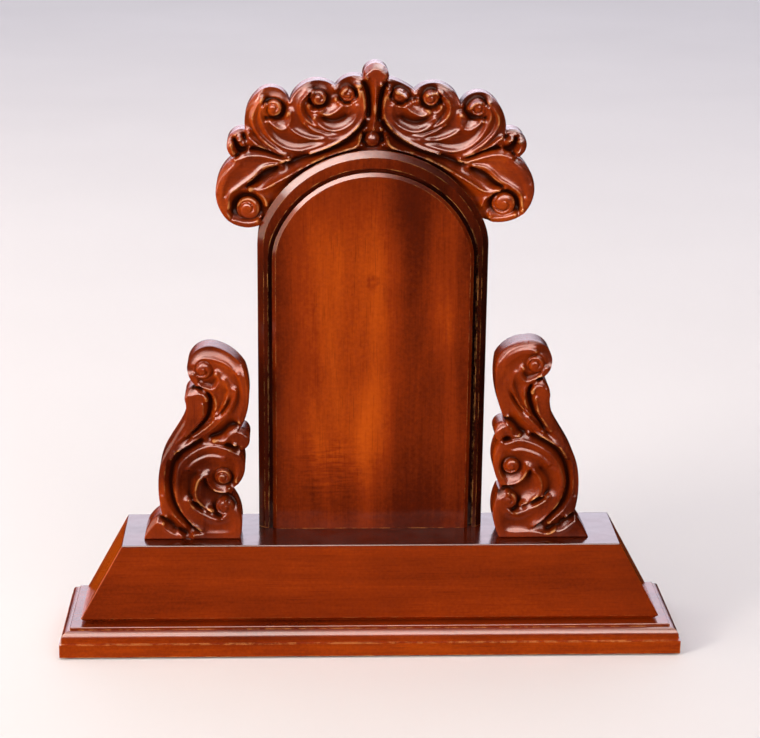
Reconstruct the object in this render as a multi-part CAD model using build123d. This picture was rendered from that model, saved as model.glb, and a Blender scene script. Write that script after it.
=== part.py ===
from build123d import *
import math
import os

# A free-standing carved wooden memento: a moulded plinth carries a tapered block, on which
# an arched panel with a carved crest stands between two carved scroll brackets.
# Millimetres, +Z up, front towards -Y, origin on the table at the middle of the plinth.

# ---- felt pads -------------------------------------------------------------------------
PAD_T = 1.0
PAD_R = 8.0
PAD_X = 134.0
PAD_Y = 19.5

# ---- plinth: a flat band, a quarter-round moulding and a flat top ------------------------
PLINTH_W = 300.0
PLINTH_D = 61.0
PLINTH_H = 13.6
BAND_H = 6.6
QUIRK = 0.9
OVOLO_TOP = 12.2
OVOLO_R = 3.6
PLINTH_STEP = 4.9
EASE = 0.5

# ---- tapered block ---------------------------------------------------------------------
BLOCK_FOOT_W = 280.5
BLOCK_TOP_W = 239.0
BLOCK_D = 42.0
BLOCK_H = 40.1
BLOCK_UNDERCUT = 2.3
BLOCK_EASE = 0.7

# ---- arched panel ------------------------------------------------------------------------
PANEL_W = 109.0
PANEL_FRONT = 2.0
PANEL_BACK = 20.0
PANEL_ARCH_R = 57.2
PANEL_ARCH_RISE = 129.3     # height of the arch centre above the block
PANEL_CHAMFER = 2.9
PANEL_BLEND_R = 28.0        # eases the arch into the straight sides
FIELD_W = 95.2              # the raised field inside the groove
FIELD_ARCH_R = 49.0
FIELD_ARCH_RISE = 127.6
FIELD_PROUD = 1.5
FIELD_BEVEL = 1.6
FIELD_BLEND_R = 30.0
GROOVE_W = 2.0
GROOVE_DEPTH = 4.0

# ---- carved crest ------------------------------------------------------------------------
CREST_FRONT = 3.0
CREST_BACK = 20.0

# ---- scroll brackets ----------------------------------------------------------------------
BRACKET_FRONT = -14.6
BRACKET_BACK = 3.4
GOUGE = 1.8                 # width of the round gouge cut about each volute's eye
LEFT_INNER_X = 58.0         # inner edge of each bracket, from the middle plane
RIGHT_INNER_X = 57.5

# ---- fasteners -----------------------------------------------------------------------------
FIT = 0.05                  # radial clearance of a glued dowel or a driven screw
DOWEL_R = 3.0
DOWEL_LEN = 24.0
CREST_DOWEL_LEN = 18.0
CREST_DOWEL_Y = 14.5        # nearer the back, clear of the deepest carving
CREST_DOWEL_ANGLES = {"left": 40.0, "middle": 0.0, "right": -40.0}
BRACKET_DOWEL_Y = -3.6
BRACKET_DOWEL_P = {"inner": 15.0, "outer": 33.0}
PLINTH_SCREW_X = 108.0
PLINTH_SCREW_Y = 10.0
PLINTH_SCREW_LEN = 30.0
PANEL_SCREW_X = 32.0
PANEL_SCREW_LEN = 55.0
PANEL_SCREW_RECESS = 8.0
SCREW_R = 2.0
SCREW_HEAD_R = 4.0
SCREW_HEAD_H = 2.6
SCREW_TIP = 4.0
SCREW_SUNK = 0.6
RECESS_W = 0.9
RECESS_D = 1.6

# ---- heights worked out from the above -------------------------------------------------------
PLINTH_Z = PAD_T
BLOCK_Z = PLINTH_Z + PLINTH_H
TOP_Z = BLOCK_Z + BLOCK_H
ARCH_Z = TOP_Z + PANEL_ARCH_RISE
FIELD_ARCH_Z = TOP_Z + FIELD_ARCH_RISE
PANEL_Y = (PANEL_FRONT + PANEL_BACK) / 2

# Outlines as chains of arcs: each row is a point on the arc and its end. The carver worked
# by eye, so the two sides differ a little.
# Crest, as (x, height above the arch centre), from the finial's top down to the arch.
LEFT_WING_FOOT = 21.6       # where the underside of each wing meets the arch
RIGHT_WING_FOOT = 24.3
CREST_TOP = (0.6, 97.4)
CREST_LEFT = [
    ((-3.6, 95.7), (-5.4, 90.7)),       # finial
    ((-12.5, 90.7), (-18.0, 86.2)),     # inner curl
    ((-28.5, 88.8), (-39.3, 79.2)),     # middle volute
    ((-46.9, 85.7), (-54.6, 82.8)),     # outer volute
    ((-59.2, 75.4), (-59.6, 66.2)),
    ((-67.6, 62.4), (-65.0, 53.2)),     # side curl
    ((-73.7, 38.0), (-68.3, 23.8)),     # wing
    ((-61.0, 20.6), (-math.sqrt(PANEL_ARCH_R**2 - LEFT_WING_FOOT**2), LEFT_WING_FOOT)),
]
CREST_RIGHT = [
    ((4.9, 95.6), (6.5, 90.0)),
    ((13.4, 87.6), (18.8, 84.2)),
    ((29.5, 88.0), (40.2, 78.2)),
    ((48.4, 83.8), (55.4, 81.2)),
    ((60.4, 73.6), (61.2, 65.8)),
    ((70.4, 63.2), (66.8, 54.0)),
    ((75.4, 37.8), (70.6, 27.0)),
    ((62.0, 23.4), (math.sqrt(PANEL_ARCH_R**2 - RIGHT_WING_FOOT**2), RIGHT_WING_FOOT)),
]
CREST_EYES = [
    (-12.0, 82.5, 2.6), (-26.3, 80.6, 3.4), (-47.4, 76.8, 3.8), (-58.6, 29.5, 4.4),
    (11.6, 81.5, 2.6), (27.4, 79.4, 3.4), (48.6, 75.8, 3.8), (60.3, 32.0, 4.4),
]

# Brackets, as (distance outward from the inner edge, height above the block), from the inner
# corner of the foot up the inner side, over the top and down to the flank.
LEFT_START = (5.5, 0.0)
LEFT_ARCS = [
    ((4.5, 10.0), (8.6, 20.6)),         # lower volute
    ((9.2, 23.8), (7.6, 26.6)),         # notch
    ((2.8, 35.0), (5.3, 45.1)),         # middle volute
    ((0.3, 50.6), (4.9, 55.8)),         # inner bud
    ((0.5, 71.0), (2.4, 84.6)),         # stem
    ((8.6, 91.6), (17.2, 95.5)),        # top volute
    ((26.4, 92.8), (29.6, 86.3)),
    ((28.2, 81.0), (24.4, 76.6)),
    ((29.9, 74.3), (30.4, 68.8)),       # outer bud
]
LEFT_FLANK = [(30.4, 68.8), (31.5, 60.0), (36.8, 50.5), (42.2, 40.3), (44.1, 29.5), (42.6, 12.6)]
LEFT_FOOT = ((48.7, 7.4), (51.4, 0.0))
RIGHT_START = (4.7, 0.0)
RIGHT_ARCS = [
    ((1.2, 14.0), (3.6, 23.6)),
    ((5.2, 24.6), (5.0, 26.2)),
    ((0.7, 36.5), (3.0, 49.3)),
    ((1.4, 55.6), (6.4, 58.4)),
    ((1.0, 74.0), (1.0, 89.2)),
    ((6.8, 95.8), (15.3, 98.3)),
    ((24.9, 95.2), (27.3, 89.6)),
    ((26.2, 84.9), (22.3, 80.9)),
    ((25.8, 76.8), (26.6, 70.6)),
]
RIGHT_FLANK = [(26.6, 70.6), (28.2, 62.6), (34.2, 51.6), (40.0, 40.5), (42.1, 29.0), (40.4, 12.4)]
RIGHT_FOOT = ((44.8, 5.9), (47.9, 0.0))
LEFT_EYES = [(12.6, 17.0, 3.4), (13.2, 33.6, 3.8), (23.4, 86.2, 3.4)]
RIGHT_EYES = [(8.0, 19.0, 2.8), (10.0, 36.6, 3.8), (18.9, 88.4, 3.6)]


def across_y(face, front, back):
    """Extrudes a face drawn in the XZ plane so that it fills the depths from front to back."""
    return Pos(0, back, 0) * extrude(face, back - front)


def arc_chain(start, arcs, place):
    """A run of arcs through placed points, each row giving a point on the arc and its end."""
    edges, at = [], place(start)
    for middle, end in arcs:
        edges.append(ThreePointArc(at, place(middle), place(end)))
        at = place(end)
    return edges, at


def xz_face(edges):
    """Closes edges given in (x, z) into one face in the XZ plane, facing -Y."""
    return Plane.XZ * make_face(Wire(edges))


def wood_screw(length):
    """A countersunk screw pointing up, with its head's flat face at Z 0 and a cross recess."""
    shank_top = length - SCREW_TIP
    outline = Polyline(
        (0, 0), (SCREW_HEAD_R, 0), (SCREW_R, SCREW_HEAD_H), (SCREW_R, shank_top), (0, length), (0, 0)
    )
    body = revolve(Plane.XZ * make_face(outline), Axis.Z)
    slot = Box(SCREW_HEAD_R, RECESS_W, RECESS_D, align=(Align.CENTER, Align.CENTER, Align.MIN))
    return body - slot - Rot(0, 0, 90) * slot


def screw_hole(length, sunk):
    """The space a screw fills, let in by sunk below the face it is driven from."""
    outline = Polyline(
        (0, -1), (SCREW_HEAD_R + FIT, -1), (SCREW_HEAD_R + FIT, sunk),
        (SCREW_R + FIT, sunk + SCREW_HEAD_H), (SCREW_R + FIT, sunk + length + 0.5),
        (0, sunk + length + 0.5), (0, -1),
    )
    return revolve(Plane.XZ * make_face(outline), Axis.Z)


def dowel(length):
    """A dowel along Z about its middle, with eased ends."""
    pin = Cylinder(DOWEL_R - FIT, length)
    return chamfer(pin.edges(), 0.6)


def dowel_hole(length):
    """The drilled hole for a dowel, a little deeper than the dowel at both ends."""
    return Cylinder(DOWEL_R, length + 1.0)


# ---- where the fasteners go -------------------------------------------------------------------
def plinth_screw_places():
    return [
        Pos(x, y, PLINTH_Z)
        for x in (-PLINTH_SCREW_X, PLINTH_SCREW_X)
        for y in (-PLINTH_SCREW_Y, PLINTH_SCREW_Y)
    ]


def panel_screw_places():
    return [Pos(x, PANEL_Y, BLOCK_Z) for x in (-PANEL_SCREW_X, PANEL_SCREW_X)]


def on_crest(q):
    """The (x, z) of a point given by its height above the arch centre."""
    return q[0], ARCH_Z + q[1]


def crest_dowel_place(side):
    turn = Pos(0, CREST_DOWEL_Y, ARCH_Z) * Rot(0, -CREST_DOWEL_ANGLES[side], 0)
    return turn * Pos(0, 0, PANEL_ARCH_R)


def bracket_point(side, outward, up):
    """The (x, z) of a point given outward from a bracket's inner edge and up from the block."""
    x = -(LEFT_INNER_X + outward) if side == "left" else RIGHT_INNER_X + outward
    return x, TOP_Z + up


def bracket_dowel_place(side, which):
    x, _ = bracket_point(side, BRACKET_DOWEL_P[which], 0)
    return Pos(x, BRACKET_DOWEL_Y, TOP_Z)


# ---- the wooden pieces ---------------------------------------------------------------------------
def plinth_board():
    low = (Align.CENTER, Align.CENTER, Align.MIN)
    band = Box(PLINTH_W, PLINTH_D, BAND_H, align=low)
    ovolo = Box(PLINTH_W - 2 * QUIRK, PLINTH_D - 2 * QUIRK, OVOLO_TOP, align=low)
    ovolo = fillet(ovolo.edges().group_by(Axis.Z)[-1], OVOLO_R)
    top = Box(PLINTH_W - 2 * PLINTH_STEP, PLINTH_D - 2 * PLINTH_STEP, PLINTH_H, align=low)
    top = fillet(top.edges().group_by(Axis.Z)[-1], EASE)
    board = Pos(0, 0, PLINTH_Z) * (band + ovolo + top)
    for place in plinth_screw_places():
        board -= place * screw_hole(PLINTH_SCREW_LEN, SCREW_SUNK)
    return board


def base_block():
    foot, top = BLOCK_FOOT_W / 2, BLOCK_TOP_W / 2
    slope = (foot - top) / (BLOCK_H - BLOCK_UNDERCUT)
    full = foot + slope * BLOCK_UNDERCUT
    side = Polyline((-full, BLOCK_Z), (full, BLOCK_Z), (top, TOP_Z), (-top, TOP_Z), (-full, BLOCK_Z))
    block = across_y(Plane.XZ * make_face(side), -BLOCK_D / 2, BLOCK_D / 2)
    levels = block.edges().group_by(Axis.Z)
    block = fillet(levels[-1] + levels[1], BLOCK_EASE)
    # the foot is cut back all round at 45 degrees, which leaves a dark line on the plinth
    wide = Plane.XY.offset(BLOCK_Z + BLOCK_UNDERCUT) * Rectangle(2 * foot, BLOCK_D)
    narrow = Plane.XY.offset(BLOCK_Z) * Rectangle(2 * (foot - BLOCK_UNDERCUT), BLOCK_D - 2 * BLOCK_UNDERCUT)
    slab = Pos(0, 0, BLOCK_Z) * Box(
        4 * foot, 2 * BLOCK_D, BLOCK_UNDERCUT, align=(Align.CENTER, Align.CENTER, Align.MIN)
    )
    block -= slab - loft([narrow, wide])
    for place in plinth_screw_places():
        block -= place * screw_hole(PLINTH_SCREW_LEN, SCREW_SUNK)
    for place in panel_screw_places():
        block -= place * screw_hole(PANEL_SCREW_LEN, PANEL_SCREW_RECESS)
    for side_name in ("left", "right"):
        for which in BRACKET_DOWEL_P:
            block -= bracket_dowel_place(side_name, which) * dowel_hole(DOWEL_LEN)
    return block


def arched_face(width, radius, centre_z, blend, foot_z):
    """A door-shaped face: an arc about the middle plane, eased by blend arcs into straight sides."""
    half = width / 2
    blend_x, reach = half - blend, radius - blend
    blend_up = math.sqrt(reach**2 - blend_x**2)
    shoulder = centre_z + blend_up
    joint_x, joint_z = blend_x * radius / reach, centre_z + blend_up * radius / reach
    lean = math.atan2(blend_up, blend_x) / 2
    middle_x, middle_z = blend_x + blend * math.cos(lean), shoulder + blend * math.sin(lean)
    edges = [
        Line((half, foot_z), (half, shoulder)),
        ThreePointArc((half, shoulder), (middle_x, middle_z), (joint_x, joint_z)),
        ThreePointArc((joint_x, joint_z), (0, centre_z + radius), (-joint_x, joint_z)),
        ThreePointArc((-joint_x, joint_z), (-middle_x, middle_z), (-half, shoulder)),
        Line((-half, shoulder), (-half, foot_z)),
        Line((-half, foot_z), (half, foot_z)),
    ]
    return xz_face(edges)


def bevelled_door(width, radius, centre_z, blend, front, back, bevel):
    """A door-shaped board standing on the block, bevelled round its front edge."""
    outer = arched_face(width, radius, centre_z, blend, TOP_Z)
    inner = arched_face(width - 2 * bevel, radius - bevel, centre_z, blend - bevel, TOP_Z)
    edge = loft([Pos(0, front + bevel, 0) * outer, Pos(0, front, 0) * inner], ruled=True)
    return across_y(outer, front + bevel, back) + edge


def arched_panel():
    board = bevelled_door(
        PANEL_W, PANEL_ARCH_R, ARCH_Z, PANEL_BLEND_R, PANEL_FRONT, PANEL_BACK, PANEL_CHAMFER
    )
    pocket = arched_face(
        FIELD_W + 2 * GROOVE_W, FIELD_ARCH_R + GROOVE_W, FIELD_ARCH_Z, FIELD_BLEND_R + GROOVE_W, TOP_Z
    )
    board -= across_y(pocket, PANEL_FRONT - 1, PANEL_FRONT + GROOVE_DEPTH)
    for place in panel_screw_places():
        board -= place * screw_hole(PANEL_SCREW_LEN, PANEL_SCREW_RECESS)
    for side in CREST_DOWEL_ANGLES:
        board -= crest_dowel_place(side) * dowel_hole(CREST_DOWEL_LEN)
    return board


def name_tablet():
    front, back = PANEL_FRONT - FIELD_PROUD, PANEL_FRONT + GROOVE_DEPTH
    return bevelled_door(
        FIELD_W, FIELD_ARCH_R, FIELD_ARCH_Z, FIELD_BLEND_R, front, back, FIELD_BEVEL
    )


def volute_cut(x, z, radius, front):
    """A round gouge about a volute's eye, which leaves the eye standing as a boss."""
    gouge = Torus(radius + GOUGE / 2, GOUGE / 2)
    return Pos(x, front, z) * Rot(90, 0, 0) * gouge


def carved_crest():
    left, left_end = arc_chain(CREST_TOP, CREST_LEFT, on_crest)
    right, right_end = arc_chain(CREST_TOP, CREST_RIGHT, on_crest)
    under = ThreePointArc(left_end, on_crest((0, PANEL_ARCH_R)), right_end)
    crest = across_y(xz_face(left + [under] + right), CREST_FRONT, CREST_BACK)
    for x, up, radius in CREST_EYES:
        crest -= volute_cut(*on_crest((x, up)), radius, CREST_FRONT)
    for side in CREST_DOWEL_ANGLES:
        crest -= crest_dowel_place(side) * dowel_hole(CREST_DOWEL_LEN)
    return crest


def scroll_bracket(side):
    if side == "left":
        start, arcs, flank, foot, eyes = LEFT_START, LEFT_ARCS, LEFT_FLANK, LEFT_FOOT, LEFT_EYES
    else:
        start, arcs, flank, foot, eyes = RIGHT_START, RIGHT_ARCS, RIGHT_FLANK, RIGHT_FOOT, RIGHT_EYES

    def place(q):
        return bracket_point(side, *q)

    edges, _ = arc_chain(start, arcs, place)
    edges.append(Spline([place(q) for q in flank]))
    toe, corner = arc_chain(flank[-1], [foot], place)
    edges += toe + [Line(corner, place(start))]
    bracket = across_y(xz_face(edges), BRACKET_FRONT, BRACKET_BACK)
    for outward, up, radius in eyes:
        x, z = place((outward, up))
        bracket -= volute_cut(x, z, radius, BRACKET_FRONT)
    for which in BRACKET_DOWEL_P:
        bracket -= bracket_dowel_place(side, which) * dowel_hole(DOWEL_LEN)
    return bracket


# ---- every node -------------------------------------------------------------------------------------
def nodes():
    made = {
        "plinth_board": plinth_board(),
        "base_block": base_block(),
        "arched_panel": arched_panel(),
        "name_tablet": name_tablet(),
        "carved_crest": carved_crest(),
        "scroll_bracket_left": scroll_bracket("left"),
        "scroll_bracket_right": scroll_bracket("right"),
        "plinth_screws": Compound(
            [p * Pos(0, 0, SCREW_SUNK) * wood_screw(PLINTH_SCREW_LEN) for p in plinth_screw_places()]
        ),
        "panel_screws": Compound(
            [p * Pos(0, 0, PANEL_SCREW_RECESS) * wood_screw(PANEL_SCREW_LEN) for p in panel_screw_places()]
        ),
    }
    for side in CREST_DOWEL_ANGLES:
        made[f"crest_dowel_{side}"] = crest_dowel_place(side) * dowel(CREST_DOWEL_LEN)
    for side in ("left", "right"):
        for which in BRACKET_DOWEL_P:
            made[f"{side}_bracket_dowel_{which}"] = bracket_dowel_place(side, which) * dowel(DOWEL_LEN)
    for end, x in (("left", -PAD_X), ("right", PAD_X)):
        for face, y in (("front", -PAD_Y), ("back", PAD_Y)):
            pad = Cylinder(PAD_R, PAD_T, align=(Align.CENTER, Align.CENTER, Align.MIN))
            made[f"felt_pad_{face}_{end}"] = Pos(x, y, 0) * pad
    return made


os.makedirs("parts", exist_ok=True)
for name, shape in nodes().items():
    export_step(shape, f"parts/{name}.step")
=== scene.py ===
import math

import bpy
import numpy as np
from mathutils import Matrix, Vector
from mathutils.geometry import delaunay_2d_cdt


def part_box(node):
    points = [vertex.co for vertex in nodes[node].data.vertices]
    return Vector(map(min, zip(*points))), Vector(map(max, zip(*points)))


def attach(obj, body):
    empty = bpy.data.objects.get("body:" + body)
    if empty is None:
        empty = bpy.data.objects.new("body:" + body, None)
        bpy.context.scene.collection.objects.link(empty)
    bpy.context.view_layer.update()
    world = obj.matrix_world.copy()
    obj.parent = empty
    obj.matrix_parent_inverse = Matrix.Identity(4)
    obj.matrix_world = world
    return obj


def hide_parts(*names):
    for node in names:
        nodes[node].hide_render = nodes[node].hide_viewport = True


# The carved memento. The CAD's plinth, block, panel and tablet get their finish here, and the
# crest and the two scroll brackets are carved as meshes. Carving is worked out in millimetres in
# the frame's own axes (x across, z up, front towards -y) and turned into metres at the end.

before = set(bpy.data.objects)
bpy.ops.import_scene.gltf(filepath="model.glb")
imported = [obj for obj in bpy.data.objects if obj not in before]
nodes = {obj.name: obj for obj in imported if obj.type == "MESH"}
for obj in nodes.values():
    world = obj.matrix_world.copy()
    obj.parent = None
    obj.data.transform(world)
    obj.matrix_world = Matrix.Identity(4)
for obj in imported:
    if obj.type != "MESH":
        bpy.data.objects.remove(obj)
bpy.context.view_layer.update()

MM = 0.001


def box_mm(node):
    """A node's lowest and highest corners in millimetres."""
    low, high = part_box(node)
    return np.array(low) / MM, np.array(high) / MM


def link(thing):
    bpy.context.scene.collection.objects.link(thing)
    return thing


# ---- camera: the photograph's angle --------------------------------------------------------------
CAMERA_AT = (-0.0375, -0.911, 0.4201)
CAMERA_YAW = 0.0452
CAMERA_PITCH = 0.3015
CAMERA_ROLL = 0.0119
SENSOR_MM = 36.0
LENS_MM = 94.74


def add_camera():
    sight = Vector((
        math.sin(CAMERA_YAW) * math.cos(CAMERA_PITCH),
        math.cos(CAMERA_YAW) * math.cos(CAMERA_PITCH),
        -math.sin(CAMERA_PITCH),
    ))
    level_line = Vector((math.cos(CAMERA_YAW), -math.sin(CAMERA_YAW), 0.0))
    right = (Matrix.Rotation(-CAMERA_ROLL, 3, sight) @ level_line).normalized()
    turn = Matrix((right, right.cross(sight), -sight)).transposed()
    data = bpy.data.cameras.new("camera")
    data.sensor_width = SENSOR_MM
    data.lens = LENS_MM
    camera = link(bpy.data.objects.new("camera", data))
    camera.matrix_world = Matrix.Translation(CAMERA_AT) @ turn.to_4x4()
    bpy.context.scene.camera = camera


add_camera()


# ---- carving: the lines that a height map hangs between ------------------------------------------
# Heights run from 0, deep in the board, to RELIEF at its front. A line is rows of x, z and height.
RELIEF = 8.0                # height of the board's front
CUT = 1.1                   # millimetres of wood for each unit of height
GROUND = 5.4                # height of the face where nothing is cut
POINT_STEP = 0.15           # between the points of a line
RING_POINTS = 80            # in a ring round an eye
RUN_OUT = 3.0               # length over which a valley runs out
FADE = 0.2                  # share of a ridge's length over which its wall grows at each end
FADED_WIDTH = 0.4           # share of the wall's width left where it has faded out
WIDTH_CHANGE = 0.8          # share of a ridge's length over which its wall's width changes
ANCHOR_CORE = 1.0           # square of the distance within which one anchor's shift holds
ANCHOR_FALL = 1.5           # how fast an anchor's weight falls off beyond it


def spline(points):
    """A smooth line through a few points, as closely spaced points."""
    p = np.array(points, float)
    p = np.vstack([2 * p[0] - p[1], p, 2 * p[-1] - p[-2]])
    out = []
    for a, b, c, d in zip(p, p[1:], p[2:], p[3:]):
        count = max(2, int(math.hypot(c[0] - b[0], c[1] - b[1]) / POINT_STEP))
        t = np.linspace(0, 1, count, endpoint=False)[:, None]
        out.append(0.5 * (2 * b + (c - a) * t + (2 * a - 5 * b + 4 * c - d) * t**2
                          + (3 * b - a - 3 * c + d) * t**3))
    return np.vstack(out + [p[-2][None]])


def smooth(t):
    """0 to 1 with soft ends."""
    t = np.clip(t, 0, 1)
    return t * t * (3 - 2 * t)


def climb(value, start, end):
    """Goes smoothly from 0 to 1 as value goes from start to end."""
    return smooth((value - start) / (end - start))


def ridge(points, high, low, wall, end_wall=None):
    """A sharp ridge with a wall that falls to its left, fading out at both ends.

    wall is the wall's width in plan, and end_wall its width at the far end where that differs.
    """
    line = spline(points)
    along = np.gradient(line, axis=0)
    along /= np.maximum(np.hypot(along[:, 0], along[:, 1]), 1e-9)[:, None]
    left = np.column_stack([-along[:, 1], along[:, 0]])
    t = np.linspace(0, 1, len(line))
    fade = smooth(t / FADE) * smooth((1 - t) / FADE)
    width = wall + ((end_wall or wall) - wall) * smooth(t / WIDTH_CHANGE)
    foot = line + left * (width * (FADED_WIDTH + (1 - FADED_WIDTH) * fade))[:, None]
    top = np.full(len(line), float(high))
    return [np.column_stack([line, top]), np.column_stack([foot, top - (high - low) * fade * width / wall])]


def level(points, height):
    """A line at one height. A valley rises at both ends, so that it runs out as a gouge cut does."""
    line = spline(points)
    along = np.concatenate([[0], np.hypot(*np.diff(line, axis=0).T).cumsum()])
    lift = 1 - smooth(along / RUN_OUT) * smooth((along[-1] - along) / RUN_OUT)
    return [np.column_stack([line, height + max(0.0, GROUND - height) * lift])]


def around(x, z, radius, start, end, height):
    """Part of a ring round an eye, from one angle to another in degrees."""
    angle = np.radians(np.linspace(start, end, RING_POINTS))
    heights = np.full(RING_POINTS, float(height))
    return [np.column_stack([x + radius * np.cos(angle), z + radius * np.sin(angle), heights])]


def mirror_warp(anchors):
    """Mirrors points left to right and shifts them as the anchors' pairs say."""
    start = np.array([[-a[0], a[1]] for a, _ in anchors], float)
    shift = np.array([b for _, b in anchors], float) - start

    def warp(points):
        p = points * np.array([-1.0, 1.0])
        away = ((p[:, None, :] - start[None]) ** 2).sum(2)
        weight = 1 / (away + ANCHOR_CORE) ** ANCHOR_FALL
        return p + (weight[:, :, None] * shift[None]).sum(1) / weight.sum(1)[:, None]

    return warp


def moved(lines, warp):
    return [np.column_stack([warp(line[:, :2]), line[:, 2]]) for line in lines]


def mirrored(eyes, warp):
    """The same eyes on the other half, with their spirals turned the other way."""
    places = warp(np.array([eye[:2] for eye in eyes]))
    return [(x, z, radius, top, -turn) for (x, z), (_, _, radius, top, turn) in zip(places, eyes)]


# ---- carving: the height map ---------------------------------------------------------------------
CELL = 0.25                 # of the map
COARSE = (8, 4, 2, 1)       # cells to a step, from the roughest map to the finest
ROUNDS = 90                 # of settling at each step
OVERSHOOT = 1.85            # of each settling move, so that fewer rounds are enough
START = 5.0                 # height that settling starts from
MARGIN = 1.5                # of the map round the outline
HOLLOW = 0.20               # how much the surface sags between two lines, as a gouge leaves it
SOFTEN = 0.32               # how far the lines' edges are sanded
SANDED = 0.18               # how far the whole face is sanded at the end
LOWEST = 0.4                # height of the deepest cut
PLANED = 0.22               # how softly the planed faces begin
CRISP = 1.3                 # how proud the ridges stand
CRISP_REACH = 0.9           # how far round it a ridge is compared with
RIM_HIGH = 7.3              # height of the carving just inside its rim
RIM_TOP = 4.2               # width of the rounding over an edge that faces up
RIM_SIDE = 1.9              # and over an edge that faces sideways
SIDE_DROP = 1.3 * RIM_SIDE  # fall of the rounding at an edge that faces sideways
FACES_UP = (-0.1, 0.7)      # how far up an edge faces where that starts to count, and counts in full
FACING_REACH = 1.2          # how far along the edge its direction is averaged
LINE_CLEAR = 0.7            # how near a line stops the rim's own line
CROWDED = 0.02              # share of stamped cells that counts as near
LOW_EDGE = 3.2              # height left where the crest meets the arch
LOW_STRIP = 0.7             # width of the strip held at that height
LOW_REACH = 4.0             # width of the strip with no rounding
CAVITY_REACHES = (1.2, 3.0)  # how far round it a recess is compared with, for the painted shade and pooled stain in recesses
CROWN_REACH = 0.7           # how far round it a worn ridge is compared with
CROWN_BLUR = 0.25           # how far the wear spreads

EYE_EDGE = 0.9              # width of the step round an eye
EYE_FALL = 1.5              # how far a spiral eye's dome falls to its edge
BOSS_FALL = 2.4             # and a plain boss's
SPIRAL_LAPS = 1.3
SPIRAL_DEPTH = 1.3
SPIRAL_WIDTH = 0.16         # as a share of a lap
SPIRAL_START = (0.2, 0.5)   # where the gouge starts and is full, as shares of the radius


def blur(field, inside, reach):
    """Gaussian smoothing over a reach in millimetres that takes no notice of what lies outside."""
    sigma = reach / CELL
    last = max(1, int(3 * sigma))
    steps = range(-last, last + 1)
    kernel = np.exp(-0.5 * (np.array(steps) / sigma) ** 2)

    def spread(a):
        for axis in (0, 1):
            a = sum(k * np.roll(a, s, axis) for s, k in zip(steps, kernel))
        return a

    weight = inside.astype(float)
    return spread(field * weight) / np.maximum(spread(weight), 1e-6)


def inside_outline(x, z, outline):
    hit = np.zeros(x.shape, bool)
    for (ax, az), (bx, bz) in zip(outline, np.roll(outline, -1, 0)):
        if az != bz:
            hit ^= ((az > z) != (bz > z)) & (x < (bx - ax) * (z - az) / (bz - az) + ax)
    return hit


def turns_left(outline):
    """True when the outline runs anticlockwise, with x to the right and z up."""
    ahead = np.roll(outline, -1, 0)
    return (outline[:, 0] * ahead[:, 1] - ahead[:, 0] * outline[:, 1]).sum() > 0


def to_outline(x, z, outline):
    """Distance to the outline, and how far up its nearest side faces (1 up, -1 down)."""
    best = np.full(x.shape, 1e9)
    facing = np.zeros(x.shape)
    sign = 1.0 if turns_left(outline) else -1.0
    for (ax, az), (bx, bz) in zip(outline, np.roll(outline, -1, 0)):
        dx, dz = bx - ax, bz - az
        length2 = dx * dx + dz * dz
        t = np.clip(((x - ax) * dx + (z - az) * dz) / length2, 0, 1)
        away = (x - ax - t * dx) ** 2 + (z - az - t * dz) ** 2
        nearer = away < best
        best = np.where(nearer, away, best)
        facing = np.where(nearer, -sign * dx / math.sqrt(length2), facing)
    return np.sqrt(best), facing


def stamp(lines, corner, shape):
    """The sum of the lines' heights in each cell that they cross, and how many points it is of."""
    total, hits = np.zeros(shape), np.zeros(shape)
    for line in lines:
        i = np.rint((line[:, 1] - corner[1]) / CELL).astype(int)
        j = np.rint((line[:, 0] - corner[0]) / CELL).astype(int)
        ok = (i >= 0) & (i < shape[0]) & (j >= 0) & (j < shape[1])
        np.add.at(total, (i[ok], j[ok]), line[ok, 2])
        np.add.at(hits, (i[ok], j[ok]), 1)
    return total, hits


def relax(height, fixed, inside, sag):
    """Each free cell settles to the mean of its neighbours inside the outline, less the sag."""
    def neighbours(a):
        return a[:-2, 1:-1] + a[2:, 1:-1] + a[1:-1, :-2] + a[1:-1, 2:]

    count = np.maximum(neighbours(np.pad(inside.astype(float), 1)), 1)
    free = inside & ~fixed
    rows, columns = np.indices(height.shape)
    colours = [free & ((rows + columns) % 2 == c) for c in (0, 1)]
    h = height * inside
    for _ in range(ROUNDS):
        for cells in colours:
            mean = neighbours(np.pad(h, 1)) / count - sag
            h[cells] += OVERSHOOT * (mean[cells] - h[cells])
    return h


def settle(total, hits, inside):
    """The surface that hangs between the stamped cells, found on a rough map and then on finer ones."""
    height = None
    for coarse in COARSE:
        shape = (total.shape[0] // coarse, coarse, total.shape[1] // coarse, coarse)
        t, n, w = (a.reshape(shape).sum((1, 3)) for a in (total, hits, inside.astype(float)))
        fixed = (n > 0) & (w > 0)
        start = np.full(n.shape, START) if height is None else np.kron(height, np.ones((2, 2)))
        start = np.where(fixed, t / np.maximum(n, 1), start)
        height = relax(start, fixed, w > 0, HOLLOW * (CELL * coarse) ** 2 / 4)
    return height


def add_eye(height, x, z, radius, top, turn):
    """A domed boss with a shallow spiral gouge. turn is the spiral's hand, or 0 for a plain boss."""
    r = np.hypot(x, z)
    out = r / radius
    dome = top - (EYE_FALL if turn else BOSS_FALL) * out**2
    lap = (out * SPIRAL_LAPS - np.arctan2(z, x) * turn / (2 * math.pi)) % 1.0
    gouge = np.exp(-(((lap - 0.5) / SPIRAL_WIDTH) ** 2)) * climb(out, *SPIRAL_START)
    side = smooth((radius + EYE_EDGE / 2 - r) / EYE_EDGE)
    return height + (np.maximum(dome - SPIRAL_DEPTH * gouge * abs(turn), height) - height) * side


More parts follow.
